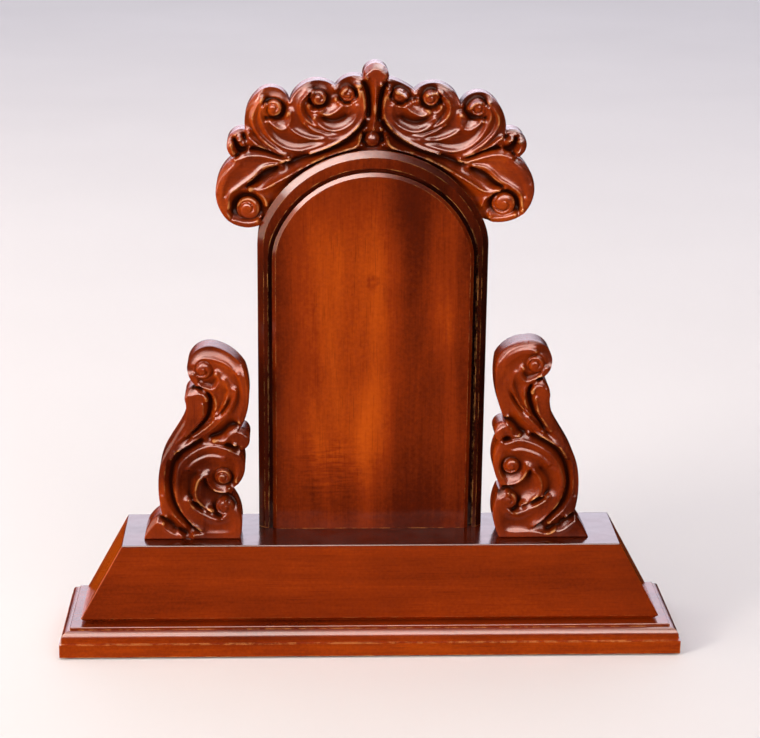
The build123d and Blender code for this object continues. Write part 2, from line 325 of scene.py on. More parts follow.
def carve(outline, lines, eyes, rim_drop, face, low_edge):
    """A board's height map, with the maps of its recesses and of its worn ridges.

    Everything above face is planed off, so that the strands keep flat faces. Edges that face up are
    rounded over by rim_drop. low_edge(x, z) is true where the board meets its neighbour and is cut
    low, at LOW_EDGE.
    """
    corner = outline.min(0) - MARGIN
    size = np.ceil((outline.max(0) + MARGIN - corner) / CELL / COARSE[0]).astype(int) * COARSE[0]
    x, z = np.meshgrid(corner[0] + CELL * np.arange(size[0]), corner[1] + CELL * np.arange(size[1]))
    inside = inside_outline(x, z, outline)
    everywhere = np.ones_like(inside)
    low = low_edge(x, z)
    depth, facing = to_outline(x, z, outline)
    up = climb(blur(facing, everywhere, FACING_REACH), *FACES_UP)
    rim = RIM_SIDE + (RIM_TOP - RIM_SIDE) * up

    total, hits = stamp(lines, corner, x.shape)
    crowd = blur(np.minimum(hits, 1.0), everywhere, LINE_CLEAR)
    edge = (np.abs(depth - rim) < CELL) & (crowd < CROWDED) & inside & ~low
    foot = (depth < LOW_STRIP) & low & inside
    for cells, held in ((edge, RIM_HIGH), (foot, LOW_EDGE)):
        total[cells] = held
        hits[cells] = 1

    height = blur(settle(total, hits, inside), inside, SOFTEN)
    height = face - PLANED * np.logaddexp(0, (face - height) / PLANED)
    height = height + CRISP * np.maximum(height - blur(height, inside, CRISP_REACH), 0)
    for eye_x, eye_z, *shape in eyes:
        height = add_eye(height, x - eye_x, z - eye_z, *shape)
    cavity = height - sum(blur(height, inside, reach) for reach in CAVITY_REACHES) / 2
    cap = RELIEF - (SIDE_DROP + (rim_drop - SIDE_DROP) * up) * (1 - np.clip(depth / rim, 0, 1)) ** 2
    height = np.where(low & (depth < LOW_REACH), height, np.minimum(height, cap))
    height = np.clip(blur(height, inside, SANDED), LOWEST, RELIEF)
    crown = blur(height - blur(height, inside, CROWN_REACH), inside, CROWN_BLUR)
    return corner, height, cavity, crown


def sample(corner, field, points):
    """A map's value at points, straight between cells."""
    u = (points - corner) / CELL
    j, i = (np.clip(np.floor(u[:, k]).astype(int), 0, field.shape[1 - k] - 2) for k in (0, 1))
    a, b = u[:, 0] - j, u[:, 1] - i
    return ((field[i, j] * (1 - a) + field[i, j + 1] * a) * (1 - b)
            + (field[i + 1, j] * (1 - a) + field[i + 1, j + 1] * a) * b)


# ---- carving: the pieces' meshes -----------------------------------------------------------------
SPACING = 0.36              # between the points of the carved face
EDGE_GAP = 0.6 * SPACING    # between those points and the outline's
SIDE_STEPS = (0.25, 0.5, 0.75, 1.0)     # rows of points from the carved face to the back
SHARP = math.radians(50)    # edges sharper than this aren't shaded smooth
ON_BACK = 0.01              # how near to the back a point counts as on it
TRIANGLES_INSIDE = 1        # delaunay_2d_cdt's output: triangles inside the outline only
SAME_POINT = 1e-6           # how near points are merged


def back_outline(node):
    """The outline of a board's flat back, as an ordered loop of (x, z) in millimetres."""
    mesh = nodes[node].data
    points = np.array([v.co[:] for v in mesh.vertices]) / MM
    back = points[:, 1].max()
    mesh.calc_loop_triangles()
    sides = set()
    for triangle in mesh.loop_triangles:
        corners = [tuple(np.round(points[i], 3)) for i in triangle.vertices]
        if all(abs(c[1] - back) < ON_BACK for c in corners):
            sides.update(zip(corners, corners[1:] + corners[:1]))
    after = {a: b for a, b in sides if (b, a) not in sides}
    start = at = min(after)
    loop = []
    while True:
        loop.append((at[0], at[2]))
        at = after[at]
        if at == start:
            return np.array(loop)


def board_outline(node):
    """The same loop with points SPACING apart, run anticlockwise."""
    corners = back_outline(node)
    out = []
    for a, b in zip(corners, np.roll(corners, -1, 0)):
        count = max(1, round(math.hypot(*(b - a)) / SPACING))
        out += [a + (b - a) * k / count for k in range(count)]
    return np.array(out if turns_left(np.array(out)) else out[::-1])


def face_points(low, high, outline):
    """Staggered rows of points inside the outline."""
    rows = np.arange(low[2], high[2], SPACING * math.sqrt(3) / 2)
    grid = np.array([(x, z) for k, z in enumerate(rows)
                     for x in np.arange(low[0] + (k % 2) * SPACING / 2, high[0], SPACING)])
    grid = grid[inside_outline(grid[:, 0], grid[:, 1], outline)]
    near, _ = to_outline(grid[:, 0], grid[:, 1], outline[::2])
    return grid[near > EDGE_GAP]


def faces_front(flat, face):
    """True when a triangle's corners run so that its normal points to -y."""
    a, b, c = (flat[i] for i in face[:3])
    return (b[0] - a[0]) * (c[1] - a[1]) - (b[1] - a[1]) * (c[0] - a[0]) > 0


def triangulate(outline, grid):
    """Points and triangles of the carved face, and the numbers of the outline's points."""
    count = len(outline)
    points = [Vector(p) for p in np.vstack([outline, grid])]
    found = delaunay_2d_cdt(points, [], [list(range(count))], TRIANGLES_INSIDE, SAME_POINT)
    flat = np.array([tuple(v) for v in found[0]])
    faces = [tuple(f) for f in found[2]]
    faces = [f if faces_front(flat, f) else f[::-1] for f in faces]
    number = {old: new for new, olds in enumerate(found[3]) for old in olds}
    return flat, faces, [number[k] for k in range(count)]


def nowhere(x, z):
    return np.zeros(x.shape, bool)


def carved_piece(name, node, lines, eyes, rim_drop, face, low_edge=nowhere):
    """Cuts a board's front from its height map and leaves its sides and back plain."""
    low, high = box_mm(node)
    outline = board_outline(node)
    corner, height, cavity, crown = carve(outline, lines, eyes, rim_drop, face, low_edge)
    flat, faces, rim = triangulate(outline, face_points(low, high, outline))
    front = low[1] + CUT * (RELIEF - sample(corner, height, flat))
    verts = [(x, y, z) for (x, z), y in zip(flat, front)]
    edge = [verts[k] for k in rim]
    ring, count = rim, len(rim)
    for part in SIDE_STEPS:
        base = len(verts)
        verts += [(x, y + (high[1] - y) * part, z) for x, y, z in edge]
        faces += [(ring[k], base + k, base + (k + 1) % count, ring[(k + 1) % count]) for k in range(count)]
        ring = range(base, base + count)
    faces.append(tuple(reversed(ring)))

    mesh = bpy.data.meshes.new(name)
    mesh.from_pydata([Vector(v) * MM for v in verts], [], faces)
    for key, field in (("cavity", cavity), ("crown", crown)):
        values = np.zeros(len(verts))
        values[:len(flat)] = sample(corner, field, flat)
        mesh.attributes.new(key, "FLOAT", "POINT").data.foreach_set("value", values)
    mesh.polygons.foreach_set("use_smooth", [True] * len(mesh.polygons))
    mesh.set_sharp_from_angle(angle=SHARP)
    piece = link(bpy.data.objects.new(name, mesh))
    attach(piece, "root")
    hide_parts(node)
    return piece


# ---- the crest: lines of its left half, as (x, z) in millimetres ---------------------------------
# A ridge's wall falls to the left of its line, which for a line drawn left to right is upward.
# Eyes are x, z, radius, height of their top, and turn, the spiral's hand (0 for a plain boss).
ARCH_RADIUS = 57.2
ARCH_CENTRE = box_mm("arched_panel")[1][2] - ARCH_RADIUS
ARCH_BAND = 3.0             # how far round the arch the crest's low edge is looked for
ARCH_FROM = 24.0            # and from how far above the arch's centre


def crest_lines():
    lines = []
    # outer volute: groove and thin ridge along its back, the lip under its eye, the long crescent
    lines += level([(-57.0, 264.5), (-58.0, 257.5), (-56.8, 251.0), (-52.5, 244.6), (-46.0, 239.6)], 4.9)
    lines += ridge([(-52.0, 265.1), (-56.2, 257.0), (-54.9, 250.9), (-50.0, 244.6),
                    (-41.0, 238.8)], 7.0, 5.6, 1.6)
    lines += ridge([(-49.3, 254.6), (-45.1, 251.7), (-42.3, 250.8), (-39.3, 252.8),
                    (-38.6, 258.5)], 6.7, 4.6, 2.7)
    lines += ridge([(-40.2, 252.4), (-37.4, 250.0), (-33.5, 247.8), (-28.0, 246.3),
                    (-22.0, 246.5)], 6.8, 5.3, 1.9)
    lines += ridge([(-52.0, 263.0), (-52.7, 257.0), (-48.5, 247.6), (-42.0, 242.4), (-33.0, 241.3),
                    (-20.0, 245.2)], 7.0, 4.9, 3.0)
    lines += around(-46.6, 260.4, 5.3, -130, 160, 2.4)
    lines += level([(-39.3, 263.4), (-38.4, 259.5)], 2.5)
    # middle volute
    lines += around(-25.8, 265.2, 4.6, -95, 215, 2.4)
    lines += level([(-18.1, 270.2), (-18.4, 267.0), (-17.6, 264.2)], 2.4)
    lines += ridge([(-28.5, 268.9), (-33.3, 264.8), (-34.2, 260.5), (-32.0, 255.9),
                    (-27.0, 251.9)], 6.9, 4.6, 1.8)
    lines += level([(-31.0, 268.9), (-34.9, 265.5), (-36.2, 260.5), (-34.6, 255.0), (-29.0, 250.3)], 4.9)
    lines += ridge([(-31.0, 262.0), (-29.2, 259.3), (-26.3, 258.8)], 5.8, 3.8, 1.8)
    lines += ridge([(-25.5, 258.9), (-21.5, 257.7), (-17.8, 259.3), (-14.2, 262.4)], 6.8, 4.5, 2.8)
    lines += ridge([(-28.5, 256.0), (-24.0, 251.8), (-18.7, 250.0), (-12.3, 252.2), (-8.4, 256.3),
                    (-7.3, 262.0)], 7.1, 4.7, 3.0)
    lines += level([(-25.5, 257.0), (-20.5, 254.9), (-15.0, 255.6), (-11.3, 258.9)], 3.4)
    lines += ridge([(-33.0, 253.5), (-28.5, 250.8), (-22.0, 248.6), (-15.5, 249.0)], 6.4, 5.4, 1.2)
    # inner curl and the strand that runs down from it along the arch
    lines += around(-12.2, 267.0, 4.2, -30, 290, 2.8)
    lines += ridge([(-16.0, 262.3), (-12.5, 262.4), (-9.6, 263.5), (-7.8, 265.5)], 6.2, 4.4, 1.5)
    lines += level([(-22.5, 245.3), (-15.0, 247.3), (-9.3, 251.4), (-6.6, 256.5), (-6.2, 262.5),
                    (-7.6, 269.5)], 6.9)
    lines += level([(-30.0, 239.3), (-20.0, 243.1), (-10.5, 249.2), (-5.4, 256.1), (-4.6, 263.0),
                    (-5.8, 269.0)], 6.9)
    lines += level([(-45.0, 234.2), (-34.0, 237.2), (-22.3, 241.1), (-13.0, 245.6), (-5.9, 252.0),
                    (-3.6, 256.6)], 2.2)
    # leaf edge, from beside the teardrop down to the wing's eye
    lines += ridge([(-58.0, 222.0), (-51.5, 222.6), (-42.9, 227.2), (-31.0, 233.8), (-18.5, 239.2),
                    (-8.5, 242.7), (-5.4, 248.3)], 6.4, 3.6, 2.7, 0.9)
    # wing: upper edge, roll, inner ridge and the pocket beside it
    lines += ridge([(-64.5, 235.2), (-58.7, 238.2), (-52.0, 238.3), (-45.5, 236.8),
                    (-39.0, 236.2)], 7.1, 5.0, 2.0)
    lines += level([(-63.0, 239.2), (-58.0, 241.4), (-51.5, 241.2), (-45.0, 239.0), (-40.0, 237.6)], 2.4)
    lines += level([(-71.2, 216.5), (-70.4, 223.4), (-67.4, 230.5), (-62.5, 235.0)], 7.4)
    lines += level([(-69.5, 219.5), (-66.0, 227.0), (-60.0, 231.8), (-52.5, 235.0), (-45.0, 235.4)], 5.9)
    lines += ridge([(-68.2, 213.5), (-67.3, 219.9), (-62.5, 223.9), (-57.2, 228.0), (-51.0, 233.3),
                    (-41.5, 235.8)][::-1], 6.9, 5.2, 1.3)
    lines += level([(-60.5, 222.5), (-56.8, 225.8), (-51.5, 230.2), (-43.0, 233.6)], 1.8)
    # the ring round the wing's eye and the leaf's turned-over end
    lines += level([(-65.8, 209.0), (-65.9, 216.0), (-61.5, 220.2), (-55.5, 219.4), (-51.9, 214.8),
                    (-52.5, 208.3)], 3.2)
    lines += level([(-54.5, 220.9), (-51.0, 218.2), (-49.4, 214.0)], 6.0)
    # side curl: dark hollow round a small knob, and the strands behind it
    lines += level([(-64.5, 248.2), (-64.3, 244.0), (-62.0, 240.6), (-58.0, 241.3)], 1.8)
    lines += level([(-58.3, 247.0), (-54.0, 243.6), (-47.0, 240.2), (-40.0, 237.9)], 6.6)
    lines += level([(-65.0, 237.4), (-62.2, 239.6), (-57.4, 241.9)], 2.2)
    lines += level([(-59.6, 250.3), (-60.3, 247.0), (-58.8, 244.4)], 2.4)
    return lines


CREST_EYES = [
    (-46.6, 260.4, 3.8, 7.2, 1), (-25.8, 265.2, 3.5, 7.0, 1), (-12.2, 267.0, 3.1, 6.8, -1),
    (-58.6, 213.4, 5.4, 7.3, 1), (-60.8, 244.2, 1.9, 6.4, 0),
]
# Where points of the left half are found on the right half, which the carver made by eye.
CREST_ANCHORS = [
    ((-46.6, 260.4), (48.3, 261.2)), ((-25.8, 265.2), (26.2, 265.4)), ((-12.2, 267.0), (11.2, 266.8)),
    ((-58.6, 213.4), (61.2, 216.0)), ((-60.8, 244.2), (62.2, 245.4)), ((-39.3, 263.2), (40.2, 262.2)),
    ((-18.0, 270.2), (18.8, 268.2)), ((-59.6, 250.2), (61.2, 249.8)), ((-65.0, 237.2), (66.8, 238.0)),
    ((-73.5, 222.0), (75.2, 222.0)), ((-5.4, 274.7), (6.5, 274.0)), ((-5.4, 248.3), (5.2, 248.0)),
    ((-31.0, 233.8), (31.5, 233.9)), ((-51.5, 222.6), (52.3, 221.8)), ((-42.0, 242.4), (42.5, 242.0)),
    ((-18.7, 250.0), (19.0, 249.6)), ((-54.6, 266.8), (55.4, 265.2)),
]


def centre_lines():
    """The finial, its stem and the teardrop, drawn on the middle line."""
    lines = level([(0.6, 277.0), (0.5, 270.0), (0.3, 262.0), (0.2, 256.0), (-0.6, 250.6)], 7.2)
    lines += level([(-6.3, 274.4), (-4.2, 270.8), (-3.1, 266.0), (-2.7, 260.0), (-3.4, 255.0)], 2.4)
    lines += level([(6.6, 274.0), (4.4, 270.6), (3.0, 266.0), (2.2, 260.0), (2.0, 253.0)], 2.4)
    for side in (-1, 1):
        lines += level([(side * 3.9 - 0.6, 251.0), (side * 5.0 - 0.8, 246.6), (side * 4.6 - 0.8, 243.0)], 1.6)
    lines += level([(-3.4, 274.5), (-2.9, 277.6), (0.8, 279.2), (4.2, 277.6), (4.6, 274.0)], 7.4)
    return lines


CENTRE_EYES = [(-0.9, 246.0, 3.5, 6.6, 0)]
CREST_DROP = 5.6            # how far an edge that faces up is rounded down
CREST_FACE = 6.9            # height that the faces are planed to


def carve_crest():
    left = crest_lines()
    warp = mirror_warp(CREST_ANCHORS)
    eyes = CREST_EYES + mirrored(CREST_EYES, warp) + CENTRE_EYES

    def along_arch(x, z):
        near = np.hypot(x, z - ARCH_CENTRE) < ARCH_RADIUS + ARCH_BAND
        return near & (z > ARCH_CENTRE + ARCH_FROM)

    lines = left + moved(left, warp) + centre_lines()
    return carved_piece("crest", "carved_crest", lines, eyes, CREST_DROP, CREST_FACE, along_arch)


# ---- the brackets: lines of the left one, as (x, z) in millimetres -------------------------------
def bracket_lines():
    lines = []
    # top scroll: the lip under the eye, the main ridge and the strands beside it
    lines += ridge([(-82.5, 132.3), (-78.0, 130.8), (-75.2, 130.3), (-72.3, 134.3),
                    (-73.8, 138.5)], 6.7, 4.4, 2.2)
    lines += ridge([(-92.5, 99.7), (-84.0, 105.4), (-75.5, 112.0), (-69.0, 118.7), (-65.6, 125.0),
                    (-64.6, 130.0)], 7.1, 4.5, 2.5)
    lines += ridge([(-75.0, 116.0), (-74.0, 122.0), (-75.0, 127.0), (-77.8, 130.6)], 6.3, 4.6, 1.2)
    lines += ridge([(-85.5, 106.4), (-78.0, 112.4), (-72.6, 118.6), (-69.3, 124.7), (-68.2, 130.2),
                    (-70.2, 135.2)], 6.7, 5.0, 1.5)
    lines += around(-80.2, 139.7, 5.2, -110, 190, 5.0)
    # outer bud
    lines += level([(-88.5, 130.6), (-83.0, 131.4), (-79.2, 129.8)], 1.6)
    lines += level([(-87.8, 127.2), (-86.0, 126.2), (-83.0, 127.6), (-79.5, 126.9), (-78.2, 124.9)], 7.2)
    lines += level([(-87.6, 128.8), (-83.0, 129.9), (-79.2, 128.6)], 5.0)
    lines += level([(-78.6, 129.6), (-77.0, 125.0), (-77.2, 119.5), (-80.5, 113.0), (-86.5, 107.4)], 2.6)
    lines += ridge([(-81.0, 123.0), (-80.8, 117.4), (-84.0, 112.8), (-89.0, 107.6)], 7.0, 5.4, 1.3)
    # inner bud
    lines += ridge([(-75.5, 104.0), (-70.0, 104.6), (-66.5, 108.0), (-63.0, 108.9),
                    (-59.0, 106.4)], 7.2, 5.2, 1.9)
    lines += level([(-79.0, 106.0), (-72.5, 107.6), (-67.4, 112.2), (-62.4, 112.4)], 2.6)
    lines += level([(-72.0, 102.4), (-66.0, 101.2), (-62.4, 100.8)], 2.6)
    # the long outer strand and the groove beside it
    lines += level([(-79.5, 105.6), (-86.6, 102.2), (-93.4, 96.2), (-96.0, 86.0), (-95.4, 77.5),
                    (-92.5, 69.6), (-87.5, 63.0), (-81.5, 58.0)], 2.8)
    lines += level([(-90.0, 106.5), (-96.5, 98.5), (-99.0, 88.0), (-98.8, 77.0), (-95.5, 68.0),
                    (-89.0, 60.5)], 6.2)
    # the C scroll
    lines += ridge([(-81.5, 59.0), (-86.8, 64.4), (-91.4, 72.0), (-93.0, 81.0), (-91.4, 91.0),
                    (-86.5, 97.2), (-77.5, 101.6), (-69.0, 99.7), (-63.0, 94.6)], 7.2, 5.4, 1.7)
    lines += ridge([(-88.0, 90.5), (-84.0, 94.4), (-77.5, 97.0), (-70.5, 96.0)], 6.9, 5.8, 1.0)
    lines += around(-71.2, 86.2, 5.0, -60, 250, 4.4)
    lines += level([(-78.3, 88.5), (-78.2, 84.0), (-75.0, 79.6), (-70.0, 78.6)], 6.4)
    lines += level([(-80.5, 86.5), (-79.5, 82.0), (-76.6, 78.4), (-72.5, 77.2), (-67.0, 78.0)], 2.8)
    # the leaf inside it
    lines += ridge([(-76.0, 68.6), (-81.0, 71.0), (-84.2, 77.0), (-83.3, 84.0),
                    (-79.5, 87.6)][::-1], 6.8, 5.4, 1.3)
    lines += level([(-82.5, 89.3), (-86.8, 84.0), (-87.3, 77.0), (-84.2, 71.8), (-79.5, 68.9)], 3.4)
    lines += around(-70.4, 71.0, 5.6, 20, 250, 3.0)
    # lower scroll: crescent under the leaf
    lines += ridge([(-88.3, 74.3), (-84.5, 69.8), (-79.5, 66.1), (-74.5, 64.8), (-70.5, 66.0),
                    (-66.5, 68.6)], 7.1, 4.4, 3.2)
    # foot
    lines += level([(-101.5, 67.0), (-97.5, 62.6), (-91.8, 58.4), (-86.5, 56.0)], 2.6)
    lines += ridge([(-108.2, 59.0), (-106.0, 62.6), (-103.0, 63.0), (-98.0, 58.4),
                    (-91.5, 55.2)], 7.0, 3.8, 3.4)
    return lines


BRACKET_EYES = [(-80.2, 139.7, 4.2, 7.3, -1), (-71.2, 86.2, 3.9, 7.3, 1), (-70.4, 71.0, 4.4, 7.3, -1)]
# The light groove inside the left bracket's top scroll; the right one has a plain face there.
LEFT_GROOVE = [(-84.2, 142.0), (-81.0, 145.0), (-76.0, 145.0), (-69.5, 142.5), (-65.3, 138.0), (-63.8, 132.5),
               (-64.2, 124.0), (-67.5, 116.5)]
GROOVE_HEIGHT = 5.1
BRACKET_DROP = 4.4
BRACKET_FACE = 6.5
BRACKET_ANCHORS = [
    ((-80.2, 139.7), (76.8, 142.1)), ((-71.2, 86.2), (66.8, 91.4)), ((-70.4, 71.2), (65.7, 73.9)),
    ((-58.4, 105.3), (58.5, 109.7)), ((-88.4, 126.7), (83.9, 129.2)), ((-66.6, 75.3), (61.1, 78.3)),
    ((-102.0, 84.2), (99.6, 83.7)), ((-109.4, 54.7), (105.4, 54.7)), ((-77.5, 101.6), (71.4, 104.2)),
    ((-93.0, 81.0), (91.4, 82.0)), ((-75.5, 112.0), (75.5, 112.4)), ((-60.4, 139.3), (58.5, 143.9)),
    ((-75.2, 150.2), (72.8, 153.0)), ((-63.5, 54.7), (62.2, 54.7)), ((-82.4, 131.3), (79.8, 135.6)),
]


def carve_brackets():
    left = bracket_lines()
    warp = mirror_warp(BRACKET_ANCHORS)
    sides = {
        "left": (left + level(LEFT_GROOVE, GROOVE_HEIGHT), BRACKET_EYES),
        "right": (moved(left, warp), mirrored(BRACKET_EYES, warp)),
    }
    return [
        carved_piece("bracket_" + side, "scroll_bracket_" + side, lines, eyes, BRACKET_DROP, BRACKET_FACE)
        for side, (lines, eyes) in sides.items()
    ]


crest = carve_crest()
brackets = carve_brackets()


# ---- materials -----------------------------------------------------------------------------------
class Finish:
    """A node material, with short ways to add nodes and join them."""

    def __init__(self, name):
        self.material = bpy.data.materials.new(name)
        self.material.use_nodes = True
        self.tree = self.material.node_tree
        self.shader = self.tree.nodes["Principled BSDF"]
        self.place = self.add("ShaderNodeTexCoord").outputs["Object"]
        xyz = self.add("ShaderNodeSeparateXYZ")
        self.feed(xyz.inputs[0], self.place)
        self.x, _, self.z = xyz.outputs

    def add(self, kind, **settings):
        node = self.tree.nodes.new(kind)
        for key, value in settings.items():
            setattr(node, key, value)
        return node

    def feed(self, socket, value):
        if isinstance(value, bpy.types.NodeSocket):
            self.tree.links.new(value, socket)
        else:
            socket.default_value = value

    def set(self, **inputs):
        for key, value in inputs.items():
            self.feed(self.shader.inputs[key.replace("_", " ")], value)

    def math(self, operation, *values):
        node = self.add("ShaderNodeMath", operation=operation)
        for socket, value in zip(node.inputs, values):
            self.feed(socket, value)
        return node.outputs[0]

    def plus(self, first, *others):
        for other in others:
            first = self.math("ADD", first, other)
        return first

    def minus(self, a, b):
        return self.math("SUBTRACT", a, b)

    def times(self, first, *others):
        for other in others:
            first = self.math("MULTIPLY", first, other)
        return first

    def swing(self, noise, weight):
        """A noise's swing about its middle, times a weight."""
        return self.times(self.minus(noise, 0.5), weight)

    def ease(self, value, start, end, low=0.0, high=1.0):
        """Goes smoothly from low to high as value goes from start to end."""
        node = self.add("ShaderNodeMapRange", interpolation_type="SMOOTHSTEP")
        for socket, v in zip(node.inputs[:5], (value, start, end, low, high)):
            self.feed(socket, v)
        return node.outputs[0]

    def hump(self, value, centre, width):
        """1 at the centre, falling off as a bell."""
        off = self.math("DIVIDE", self.minus(value, centre), width)
        return self.math("EXPONENT", self.times(off, off, -1.0))

    def noise(self, waves, detail=3.0, roughness=0.55, distortion=0.0, shift=(0.0, 0.0, 0.0)):
        """Noise in the object's own space. waves is waves per metre, one number or (x, y, z)."""
        mapping = self.add("ShaderNodeMapping")
        self.feed(mapping.inputs["Vector"], self.place)
        mapping.inputs["Scale"].default_value = waves if isinstance(waves, tuple) else (waves,) * 3
        mapping.inputs["Location"].default_value = shift
        node = self.add("ShaderNodeTexNoise")
        self.feed(node.inputs["Vector"], mapping.outputs[0])
        settings = {"Scale": 1.0, "Detail": detail, "Roughness": roughness, "Distortion": distortion}
        for key, value in settings.items():
            node.inputs[key].default_value = value
        return node.outputs[0]

    def ramp(self, value, *stops):
        node = self.add("ShaderNodeValToRGB")
        self.feed(node.inputs[0], value)
        points = node.color_ramp.elements
        while len(points) < len(stops):
            points.new(1.0)
        for point, (position, colour) in zip(points, stops):
            point.position = position
            point.color = (*colour, 1.0)
        return node.outputs[0]

    def mix(self, factor, a, b):
        node = self.add("ShaderNodeMix", data_type="RGBA", blend_type="MIX")
        for socket, v in zip((node.inputs[0], node.inputs[6], node.inputs[7]), (factor, a, b)):
            self.feed(socket, (*v, 1.0) if isinstance(v, tuple) else v)
        return node.outputs[2]

    def bump(self, height, distance, after=None):
        node = self.add("ShaderNodeBump")
        self.feed(node.inputs["Height"], height)
        node.inputs["Distance"].default_value = distance
        node.inputs["Strength"].default_value = 1.0
        if after is not None:
            self.feed(node.inputs["Normal"], after)
        return node.outputs[0]

    def attribute(self, name):
        return self.add("ShaderNodeAttribute", attribute_name=name).outputs["Fac"]

    def edges(self, radius):
        """Near 1 on the arrises of a machined piece."""
        bevel = self.add("ShaderNodeBevel", samples=6)
        bevel.inputs["Radius"].default_value = radius
        plain = self.add("ShaderNodeNewGeometry").outputs["Normal"]
        dot = self.add("ShaderNodeVectorMath", operation="DOT_PRODUCT")
        self.feed(dot.inputs[0], bevel.outputs[0])
        self.feed(dot.inputs[1], plain)
        return self.ease(dot.outputs["Value"], 0.99, 0.86)


RECESS_SHADE_AND_STAIN = (0.020, 0.0035, 0.0012)      # painted shade in recesses, with the stain that pools there
DUSK = (0.022, 0.0028, 0.0004)      # the stained wood, from its darkest figure
DARK = (0.075, 0.0070, 0.0006)
MID = (0.220, 0.024, 0.0010)
LIGHT = (0.420, 0.062, 0.0015)      # to its lightest
WORN = (0.620, 0.260, 0.070)        # bare wood on rubbed edges

LACQUER_IOR = 1.38
POLISH = 0.16                       # roughness of the lacquer on flat work
CARVED_POLISH = (0.21, 0.34)        # and on carving, where it is whole and where it is rubbed
RUBBED_COAT = 0.55                  # share of the lacquer left where it is rubbed
RECESS_SHADE_SPAN = (0.05, -1.35, 0.97)        # recess where the painted shade and pooled stain start, where they are full, and their share
COAT_THINS = (-0.1, -0.9, 0.08)     # recess where the lacquer starts to thin, where it ends, and what is left
RIDGE_WORN = (0.18, 0.60)           # how proud a ridge is where its wear starts and where it is full
RUBBED = (0.1, 0.6)                 # wear where the lacquer starts to go and where it ends
ARRIS = 0.0009                      # width of the wear along a machined edge
WAVE = 0.00035                      # depth of the lacquer's slow waves
PEEL = 0.00010                      # of its fine texture on carving
FIBRE = 0.00006                     # and of the wood's fibre under it


def stained(f, grain, light):
    """The stained wood's colour, with the painted light and shade that light adds on some pieces, and its
    fibre for the bump.
    """
    def along(lengthwise, across):
        return (lengthwise, across, across) if grain == "x" else (across, across, lengthwise)

    figure = f.noise(along(5.0, 42.0), 4.0, 0.6, 0.9)           # broad bands along the board
    fibre = f.noise(along(28.0, 900.0), 3.0, 0.6)               # fine streaks
    pores = f.noise(along(70.0, 2600.0), 1.0)                   # short dark ticks
    cloud = f.noise(24.0, 3.0, 0.5, 0.0, (3.0, 1.0, 7.0))       # unevenly taken stain
    mottle = f.noise(620.0, 3.0, 0.65, 0.0, (4.0, 6.0, 2.0))    # fine speckle
    tone = f.plus(f.swing(figure, 1.0), f.swing(fibre, 0.25), f.swing(cloud, 0.45), f.swing(mottle, 0.42))
    tone = f.math("MULTIPLY_ADD", f.plus(tone, light(f)), 0.7, 0.3)
    colour = f.ramp(tone, (0.0, DUSK), (0.3, DARK), (0.65, MID), (1.0, LIGHT))
    return f.mix(f.ease(pores, 0.60, 0.72, 0.0, 0.35), colour, DARK), fibre


def lacquered(name, grain, light, wear=0.5, gloss=1.0, carved=False):
    """Stained wood under gloss lacquer.

    grain is the axis that the grain follows, and light(finish) says where the colour is lighter: lighter
    stain, and on some pieces painted light and shade. Carved pieces also get painted shade in their recesses.
    """
    f = Finish(name)
    colour, fibre = stained(f, grain, light)
    rub = f.ease(f.noise(160.0, 3.0, 0.65, 0.0, (5.0, 2.0, 1.0)), 0.42, 0.62)
    lacquer = f.bump(f.noise(55.0, 2.0, 0.5), WAVE)
    coat, polish = gloss, POLISH
    if carved:
        cavity = f.attribute("cavity")
        # painted shade darkens the recesses, along with the stain that pools there
        start, deep, most = RECESS_SHADE_SPAN
        colour = f.mix(f.ease(cavity, start, deep, 0.0, most), colour, RECESS_SHADE_AND_STAIN)
        rubbed = f.times(f.ease(f.attribute("crown"), *RIDGE_WORN, 0.0, wear), rub)
        start, deep, least = COAT_THINS
        coat = f.times(f.ease(cavity, deep, start, least, gloss), f.ease(rubbed, *RUBBED, 1.0, RUBBED_COAT))
        polish = f.ease(rubbed, *RUBBED, *CARVED_POLISH)
        lacquer = f.bump(f.noise(480.0, 3.0, 0.6, 0.0, (8.0, 3.0, 5.0)), PEEL, lacquer)
    else:
        rubbed = f.times(f.edges(ARRIS), wear, rub)
    f.set(Base_Color=f.mix(rubbed, colour, WORN), Roughness=0.5, Specular_IOR_Level=0.0)
    f.set(Coat_Weight=coat, Coat_Roughness=polish, Coat_IOR=LACQUER_IOR)
    f.set(Normal=f.bump(fibre, FIBRE, lacquer), Coat_Normal=lacquer)
    return f.material


# ---- materials: where each piece's stain is lighter, and its painted light and shade -------------
# Places are in metres, across from the middle and up from the piece's own foot.
KNOT_UP = 0.1243                    # height of the knot on the tablet
KNOT_RADIUS = 0.0016
KNOT_WIDTH = 0.0014                 # of its dark ring
KNOT_UNEVEN = 0.0045                # how far the ring wanders
KNOT_SQUASH = 0.75                  # its width over its height
KNOT_DARK = 0.24


def height_on(f, node):
    return f.minus(f.z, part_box(node)[0][2])


def tablet_light(f):
    """A broad light figure left of the middle, a lighter column on the right, a low streak and a knot."""
    z = height_on(f, "name_tablet")
    x = f.plus(f.x, f.swing(f.noise((7.0, 7.0, 10.0), 3.0), 0.022))
    flanks = f.times(f.ease(x, -0.056, -0.022), f.ease(x, 0.020, 0.001, 0.15, 1.0))
    rise = f.times(f.ease(z, 0.0073, 0.0503, 0.15, 1.0), f.ease(z, 0.1853, 0.1303, 0.40, 1.0))
    broad = f.times(flanks, rise, 0.74)
    streak = f.times(f.hump(x, -0.003, 0.0048), f.ease(z, 0.0903, 0.0503, 0.0, 0.28))
    right = f.times(f.hump(x, 0.032, 0.0065), f.ease(z, 0.0653, 0.1103, 0.02, 0.34))
    low_left = f.times(f.hump(f.x, -0.020, 0.018), f.hump(z, 0.0313, 0.016))
    ripple = f.times(f.swing(f.noise((90.0, 90.0, 650.0), 2.0, 0.6, 0.6, (2.0, 4.0, 8.0)), 1.1), low_left)
    return f.minus(f.plus(broad, right, streak, ripple), knot(f, f.x, f.minus(z, KNOT_UP)))


